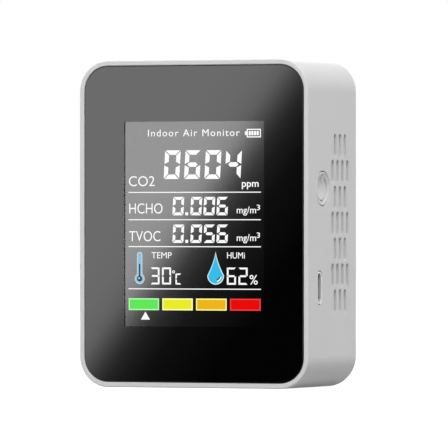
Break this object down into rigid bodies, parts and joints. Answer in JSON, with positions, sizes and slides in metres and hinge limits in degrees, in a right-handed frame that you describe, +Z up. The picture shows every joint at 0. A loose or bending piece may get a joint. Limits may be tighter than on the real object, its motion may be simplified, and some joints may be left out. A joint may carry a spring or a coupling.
{
  "type": "air quality monitor",
  "caption": "Desktop air quality monitor: white case with a glossy dark display front, a round push button, a USB-C socket and ventilation slots in its side.",
  "frame": {"origin": "centre of the case's flat base, at the bottom of the object's box", "axes": "+Z up, the display faces -Y, +X is the side with the button and the USB-C socket"},
  "size_m": [0.07, 0.0356, 0.092],
  "materials": {
    "case_white": "satin white moulded plastic with a very fine texture",
    "button_white": "satin white moulded plastic",
    "lens_clear": "clear glossy acrylic sheet",
    "lens_ink": "opaque black print",
    "tape_black": "black double-sided tape",
    "display_glass": "dark glossy display glass with its polariser",
    "display_frame": "white moulded frame",
    "display_light_guide": "milky light guide",
    "foam_black": "closed-cell black foam",
    "flex_amber": "amber polyimide film",
    "board_green": "green solder mask over glass-fibre board",
    "chip_black": "black moulded package",
    "leads_tin": "tinned metal",
    "component_tan": "ceramic",
    "sensor_can": "drawn steel can",
    "sensor_mesh": "woven steel mesh",
    "sensor_base": "brown moulded header",
    "board_black": "black solder mask over glass-fibre board",
    "chamber_white": "white moulded plastic",
    "filter_white": "white dust filter",
    "pins_gold": "gold-plated pins",
    "usb_steel": "nickel-plated steel",
    "usb_black": "black moulded tongue",
    "battery_foil": "silver laminate pouch",
    "battery_tape": "amber insulating tape",
    "foam_grey": "grey foam pad",
    "connector_white": "off-white nylon",
    "lead_red": "red lead insulation",
    "lead_black": "black lead insulation",
    "screw_steel": "zinc-plated steel"
  },
  "bodies": {
    "case": {"main_housing": "case_white", "back_cover": "case_white", "back_cover_screws": "screw_steel", "front_lens": "lens_clear", "lens_ink": "lens_ink", "lens_tape": "tape_black", "lcd_glass": "display_glass", "lcd_frame": "display_frame", "lcd_backlight": "display_light_guide", "lcd_foam_tape": "foam_black", "lcd_flex": "flex_amber", "lcd_flex_socket": "connector_white", "main_board": "board_green", "board_screws": "screw_steel", "controller_chip": "chip_black", "chip_leads": "leads_tin", "board_components": "component_tan", "gas_sensor_base": "sensor_base", "gas_sensor_can": "sensor_can", "gas_sensor_screen": "sensor_mesh", "climate_sensor": "chip_black", "buzzer": "chip_black", "co2_sensor_board": "board_black", "co2_sensor_chamber": "chamber_white", "co2_sensor_filters": "filter_white", "co2_sensor_pins": "pins_gold", "switch_body": "chip_black", "usb_shell": "usb_steel", "usb_tongue": "usb_black", "usb_contacts": "pins_gold", "battery_cell": "battery_foil", "battery_pad": "foam_grey", "battery_terminal_fold": "battery_tape", "battery_socket": "connector_white", "battery_plug": "connector_white", "battery_lead_red": "lead_red", "battery_lead_black": "lead_black"},
    "button": {"power_button": "button_white", "switch_plunger": "connector_white"}
  },
  "joints": [
    {"name": "button_press", "type": "slide", "parent": "case", "child": "button", "axis": [-1, 0, 0], "range_m": [0, 0.0004], "stiffness_N_per_m": 1500, "springref_m": -0.0007}
  ]
}
